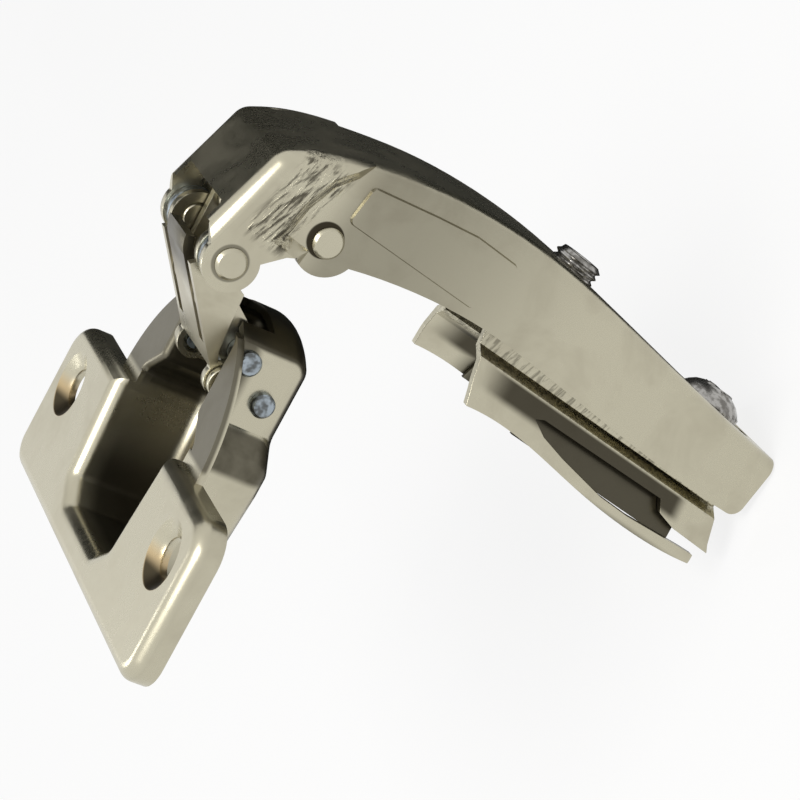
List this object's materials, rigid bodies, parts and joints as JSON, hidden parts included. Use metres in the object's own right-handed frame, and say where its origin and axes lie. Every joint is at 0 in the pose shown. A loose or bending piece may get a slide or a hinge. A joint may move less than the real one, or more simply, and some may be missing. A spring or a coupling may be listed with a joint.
{
  "type": "concealed cup hinge",
  "caption": "Concealed cup hinge with a screw flange, drawn cup, folding scissor links, stepped channel arm and slide-on holder.",
  "frame": {"origin": "the cup's axis on the door's surface", "axes": "+X towards the door's edge, Y along the hinge's axis, +Z out of the door"},
  "size_m": [0.0586, 0.0624, 0.079],
  "materials": {
    "plated_steel": "satin nickel plated",
    "zinc_steel": "zinc plated",
    "screw_steel": "bright plated"
  },
  "bodies": {
    "cup": {"hinge_cup": "plated_steel", "scissor_pivot_pin": "zinc_steel", "control_pivot_pin": "zinc_steel"},
    "inner_link": {"inner_link": "plated_steel"},
    "outer_link": {"outer_link": "plated_steel", "scissor_centre_pin": "zinc_steel"},
    "cup_links": {"cup_side_links": "plated_steel", "control_link_rivets": "zinc_steel"},
    "arm_links": {"arm_side_links": "plated_steel", "arm_link_pin": "zinc_steel"},
    "arm": {"hinge_arm": "plated_steel", "arm_front_rivets": "plated_steel", "arm_rear_pin": "plated_steel", "front_spacer_washers": "zinc_steel", "rear_spacer_tubes": "zinc_steel"},
    "holder": {"holder_slide_plate": "plated_steel", "depth_clamp_nut": "zinc_steel"},
    "side_screw": {"side_adjusting_screw": "screw_steel"},
    "depth_screw": {"depth_screw": "screw_steel"}
  },
  "joints": [
    {"name": "arm_fold", "type": "hinge", "parent": "outer_link", "child": "arm", "pos_m": [0.02264, 0, 0.00607], "axis": [0, -1, 0], "range_deg": [0, 146.4]},
    {"name": "inner_link_swing", "type": "hinge", "parent": "cup", "child": "inner_link", "pos_m": [0.0131, 0, -0.0015], "axis": [0, -1, 0], "range_deg": [0, 74.71]},
    {"name": "scissor_swing", "type": "hinge", "parent": "inner_link", "child": "outer_link", "pos_m": [0.01754, 0, 0.00398], "axis": [0, -1, 0], "range_deg": [-41.11, 0]},
    {"name": "cup_links_swing", "type": "hinge", "parent": "cup", "child": "cup_links", "pos_m": [0.0093, 0, -0.0053], "axis": [0, -1, 0], "range_deg": [0, 72.21]},
    {"name": "arm_links_swing", "type": "hinge", "parent": "arm", "child": "arm_links", "pos_m": [0.0288, 0, -0.0035], "axis": [0, -1, 0], "range_deg": [0, 30.51]},
    {"name": "depth_slide", "type": "slide", "parent": "arm", "child": "holder", "axis": [-0.1736, 0, -0.9848], "range_m": [-0.002, 0.002]},
    {"name": "side_screw_turn", "type": "hinge", "parent": "arm", "child": "side_screw", "pos_m": [0.03558, 0, -0.03571], "axis": [0.9848, 0, -0.1736], "continuous": true},
    {"name": "depth_screw_turn", "type": "hinge", "parent": "holder", "child": "depth_screw", "pos_m": [0.02612, 0, -0.06055], "axis": [0.9848, 0, -0.1736], "continuous": true}
  ],
  "couplings": [
    {"joint": "inner_link_swing", "follows": "arm_fold", "ratio": 0.51025},
    {"joint": "scissor_swing", "follows": "arm_fold", "ratio": -0.28074},
    {"joint": "cup_links_swing", "follows": "arm_fold", "ratio": 0.49317},
    {"joint": "arm_links_swing", "follows": "arm_fold", "ratio": 0.20833}
  ]
}
